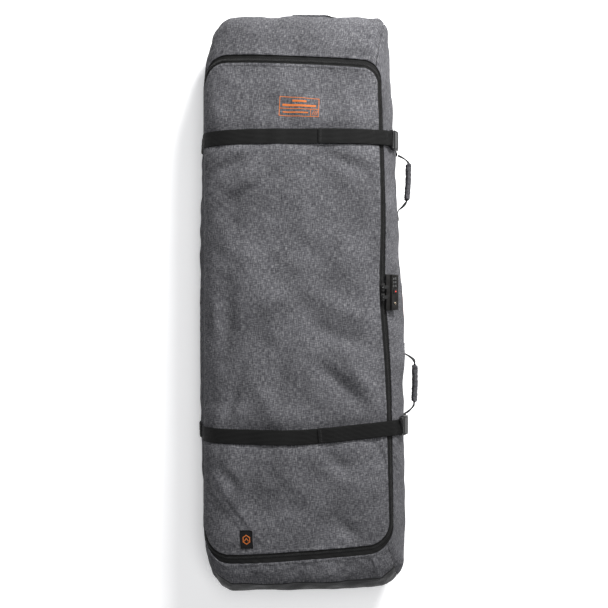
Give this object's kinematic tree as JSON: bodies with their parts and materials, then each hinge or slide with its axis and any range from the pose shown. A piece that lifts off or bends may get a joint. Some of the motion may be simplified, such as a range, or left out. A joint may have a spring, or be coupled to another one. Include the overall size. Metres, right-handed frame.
{
  "type": "snowboard bag",
  "caption": "Long padded snowboard travel bag lying on its back, with a zipped padded lid, compression straps, zip lock, side handles and foot-end wheels.",
  "frame": {"origin": "middle of the whole object's box in plan, on the surface that the bag lies on", "axes": "+Y along the bag towards its head end, +X towards the zipped side with the lock and side handles, +Z out of the lid"},
  "size_m": [0.5734, 1.5048, 0.2333],
  "materials": {
    "canvas": "heather grey plain-weave polyester canvas, matt",
    "webbing": "black ribbed polyester webbing",
    "zipper": "black coil zip on woven tape",
    "foam": "closed-cell padding foam",
    "lining": "dark woven polyester lining",
    "board": "thin polyethylene stiffener sheet",
    "plastic": "black moulded acetal or nylon, fine texture",
    "metal": "plated die-cast zinc",
    "tarpaulin": "black coated tarpaulin",
    "tyre": "dark grey polyurethane",
    "red": "red push button",
    "badge": "black woven label with an orange emblem"
  },
  "bodies": {
    "shell": {"gusset_right": "canvas", "gusset_left": "canvas", "head_panel": "canvas", "foot_panel": "canvas", "foot_guard": "tarpaulin", "back_panel": "tarpaulin", "base_board": "board", "base_foam": "foam", "foam_right": "foam", "foam_left": "foam", "foam_head": "foam", "foam_foot": "foam", "lining_tub": "lining", "zip_tape_shell": "zipper", "strap_head_buckle_female": "plastic", "strap_head_anchor_right": "webbing", "strap_head_anchor_left": "webbing", "strap_foot_buckle_female": "plastic", "strap_foot_anchor_right": "webbing", "strap_foot_anchor_left": "webbing", "lock_plate": "plastic", "lock_body": "plastic", "wheel_housing_left": "plastic", "wheel_axle_left": "metal", "wheel_housing_right": "plastic", "wheel_axle_right": "metal", "tie_down_head": "webbing", "tie_down_foot": "webbing"},
    "lid": {"lid_panel": "canvas", "lid_foam": "foam", "lid_lining": "lining", "zip_tape_lid": "zipper", "badge": "badge"},
    "strap_head": {"strap_head_web": "webbing", "strap_head_tail": "webbing", "strap_head_buckle_male": "plastic"},
    "slider_head": {"slider_head": "metal"},
    "puller_head": {"puller_head": "plastic"},
    "strap_foot": {"strap_foot_web": "webbing", "strap_foot_tail": "webbing", "strap_foot_buckle_male": "plastic"},
    "slider_foot": {"slider_foot": "metal"},
    "puller_foot": {"puller_foot": "plastic"},
    "lock_dial_1": {"lock_dial_1": "metal"},
    "lock_dial_2": {"lock_dial_2": "metal"},
    "lock_dial_3": {"lock_dial_3": "metal"},
    "lock_button": {"lock_button": "red"},
    "lock_key": {"lock_key_cylinder": "metal"},
    "handle_head": {"handle_head_web": "webbing", "handle_head_grip": "canvas"},
    "handle_foot": {"handle_foot_web": "webbing", "handle_foot_grip": "canvas"},
    "handle_end": {"handle_end_web": "webbing", "handle_end_grip": "canvas"},
    "wheel_left": {"wheel_hub_left": "plastic", "wheel_tyre_left": "tyre"},
    "wheel_right": {"wheel_hub_right": "plastic", "wheel_tyre_right": "tyre"}
  },
  "joints": [
    {"name": "lid_hinge", "type": "hinge", "parent": "shell", "child": "lid", "pos_m": [-0.27085, 0, 0.118], "axis": [0, -1, 0], "range_deg": [0, 105]},
    {"name": "strap_head_lift", "type": "hinge", "parent": "lid", "child": "strap_head", "pos_m": [-0.27085, 0, 0.118], "axis": [0, -1, 0], "range_deg": [0, 25]},
    {"name": "strap_foot_lift", "type": "hinge", "parent": "lid", "child": "strap_foot", "pos_m": [-0.27085, 0, 0.118], "axis": [0, -1, 0], "range_deg": [0, 25]},
    {"name": "slider_head_slide", "type": "slide", "parent": "lid", "child": "slider_head", "axis": [0.0044, 0.9997, -0.0223], "range_m": [0, 0.26]},
    {"name": "puller_head_flip", "type": "hinge", "parent": "slider_head", "child": "puller_head", "pos_m": [0.18644, 0.03424, 0.21786], "axis": [0, -1, 0], "range_deg": [0, 110]},
    {"name": "slider_foot_slide", "type": "slide", "parent": "lid", "child": "slider_foot", "axis": [0.0595, -0.9981, -0.0183], "range_m": [0, 0.26]},
    {"name": "puller_foot_flip", "type": "hinge", "parent": "slider_foot", "child": "puller_foot", "pos_m": [0.18628, 0.00924, 0.21825], "axis": [0, -1, 0], "range_deg": [0, 110]},
    {"name": "lock_dial_1_turn", "type": "hinge", "parent": "shell", "child": "lock_dial_1", "pos_m": [0.21538, 0.05574, 0.20513], "axis": [0, 1, 0], "continuous": true},
    {"name": "lock_dial_2_turn", "type": "hinge", "parent": "shell", "child": "lock_dial_2", "pos_m": [0.21538, 0.04674, 0.20513], "axis": [0, 1, 0], "continuous": true},
    {"name": "lock_dial_3_turn", "type": "hinge", "parent": "shell", "child": "lock_dial_3", "pos_m": [0.21538, 0.03774, 0.20513], "axis": [0, 1, 0], "continuous": true},
    {"name": "lock_button_press", "type": "slide", "parent": "shell", "child": "lock_button", "axis": [-0.5446, 0, -0.8387], "range_m": [0, 0.0018], "stiffness_N_per_m": 250, "springref_m": -0.0005},
    {"name": "lock_key_turn", "type": "hinge", "parent": "shell", "child": "lock_key", "pos_m": [0.21734, -0.00526, 0.20815], "axis": [0.5446, 0, 0.8387], "range_deg": [0, 90]},
    {"name": "handle_head_swing", "type": "hinge", "parent": "shell", "child": "handle_head", "pos_m": [0.23398, 0.31374, 0.092], "axis": [-0.0433, 0.9991, 0], "range_deg": [-50, 50]},
    {"name": "handle_foot_swing", "type": "hinge", "parent": "shell", "child": "handle_foot", "pos_m": [0.25186, -0.21726, 0.092], "axis": [-0.0244, 0.9997, 0], "range_deg": [-50, 50]},
    {"name": "handle_end_swing", "type": "hinge", "parent": "shell", "child": "handle_end", "pos_m": [0.00615, 0.74024, 0.092], "axis": [-1, 0, 0], "range_deg": [-14, 14]},
    {"name": "wheel_left_spin", "type": "hinge", "parent": "shell", "child": "wheel_left", "pos_m": [-0.19085, -0.71426, 0.038], "axis": [1, 0, 0], "continuous": true},
    {"name": "wheel_right_spin", "type": "hinge", "parent": "shell", "child": "wheel_right", "pos_m": [0.16415, -0.71426, 0.038], "axis": [1, 0, 0], "continuous": true}
  ]
}
